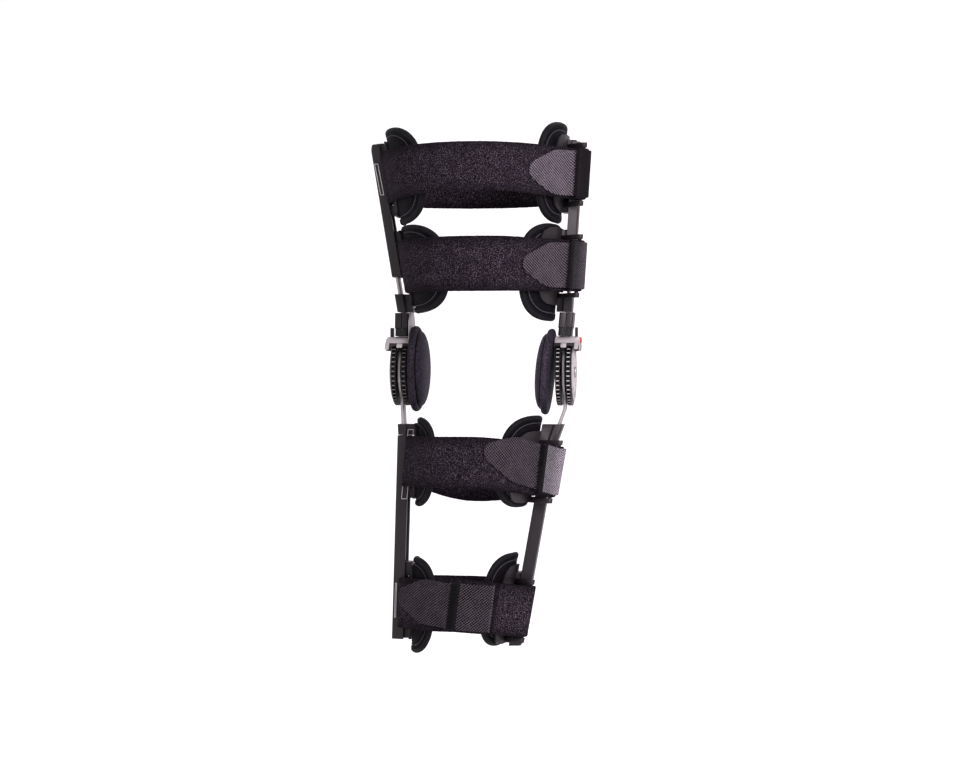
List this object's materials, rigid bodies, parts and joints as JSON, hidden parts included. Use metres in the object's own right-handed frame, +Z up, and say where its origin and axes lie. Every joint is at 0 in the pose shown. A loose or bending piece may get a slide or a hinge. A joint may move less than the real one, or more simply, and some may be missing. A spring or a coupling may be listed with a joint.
{
  "type": "hinged knee ligament brace",
  "caption": "Open-frame knee ligament brace with telescoping side uprights, dial hinges with sliding locks, padded clips, condyle pads and wrap-around straps with hook tabs.",
  "frame": {"origin": "knee centre of the leg that wears the brace, on the hinge axis and midway between the two hinges", "axes": "+Z up the thigh, -Y to the front of the leg, +X to the side with the ring posts, along the hinge axis"},
  "size_m": [0.2234, 0.1676, 0.526],
  "materials": {
    "steel": "brushed spring steel",
    "plastic": "satin moulded charcoal nylon",
    "disc": "satin black moulding",
    "grey": "satin light grey moulding",
    "red": "gloss red moulding",
    "pad": "navy-black knit over foam",
    "strap": "black brushed loop pile",
    "tab": "dark grey woven hook tab"
  },
  "bodies": {
    "thigh": {"thigh_bar_left": "steel", "thigh_bar_right": "steel", "thigh_sleeve_left": "plastic", "thigh_sleeve_right": "plastic", "hinge_block_left": "plastic", "hinge_block_right": "plastic", "hinge_cap_left": "grey", "hinge_cap_right": "grey", "hinge_disc_inner_left": "disc", "hinge_disc_inner_right": "disc", "hinge_disc_outer_left": "disc", "hinge_disc_outer_right": "disc", "hinge_dial_left": "grey", "hinge_dial_right": "grey", "hinge_pin_left": "steel", "hinge_pin_right": "steel", "condyle_pad_left": "pad", "condyle_pad_right": "pad", "thigh_clip_upper_left": "plastic", "thigh_clip_upper_right": "plastic", "thigh_clip_lower_left": "plastic", "thigh_clip_lower_right": "plastic", "thigh_pad_upper_left": "pad", "thigh_pad_upper_right": "pad", "thigh_pad_lower_left": "pad", "thigh_pad_lower_right": "pad", "thigh_strap_upper": "strap", "thigh_strap_lower": "strap", "thigh_tab_upper": "tab", "thigh_tab_lower": "tab"},
    "calf": {"calf_bar_left": "steel", "calf_bar_right": "steel", "calf_sleeve_left": "plastic", "calf_sleeve_right": "plastic", "calf_clip_upper_left": "plastic", "calf_clip_upper_right": "plastic", "calf_clip_lower_left": "plastic", "calf_clip_lower_right": "plastic", "calf_pad_upper_left": "pad", "calf_pad_upper_right": "pad", "calf_pad_lower_left": "pad", "calf_pad_lower_right": "pad", "calf_strap_upper": "strap", "calf_strap_lower": "strap", "calf_tab_upper": "tab", "calf_tab_lower": "tab"},
    "lock_left": {"lock_slide_left": "plastic", "lock_button_left": "red"},
    "lock_right": {"lock_slide_right": "plastic", "lock_button_right": "red"}
  },
  "joints": [
    {"name": "knee_flexion", "type": "hinge", "parent": "thigh", "child": "calf", "pos_m": [0, 0, 0], "axis": [1, 0, 0], "range_deg": [0, 120]},
    {"name": "lock_slide_left", "type": "slide", "parent": "thigh", "child": "lock_left", "axis": [0, 0, 1], "range_m": [0, 0.005]},
    {"name": "lock_slide_right", "type": "slide", "parent": "thigh", "child": "lock_right", "axis": [0, 0, 1], "range_m": [0, 0.005]}
  ]
}
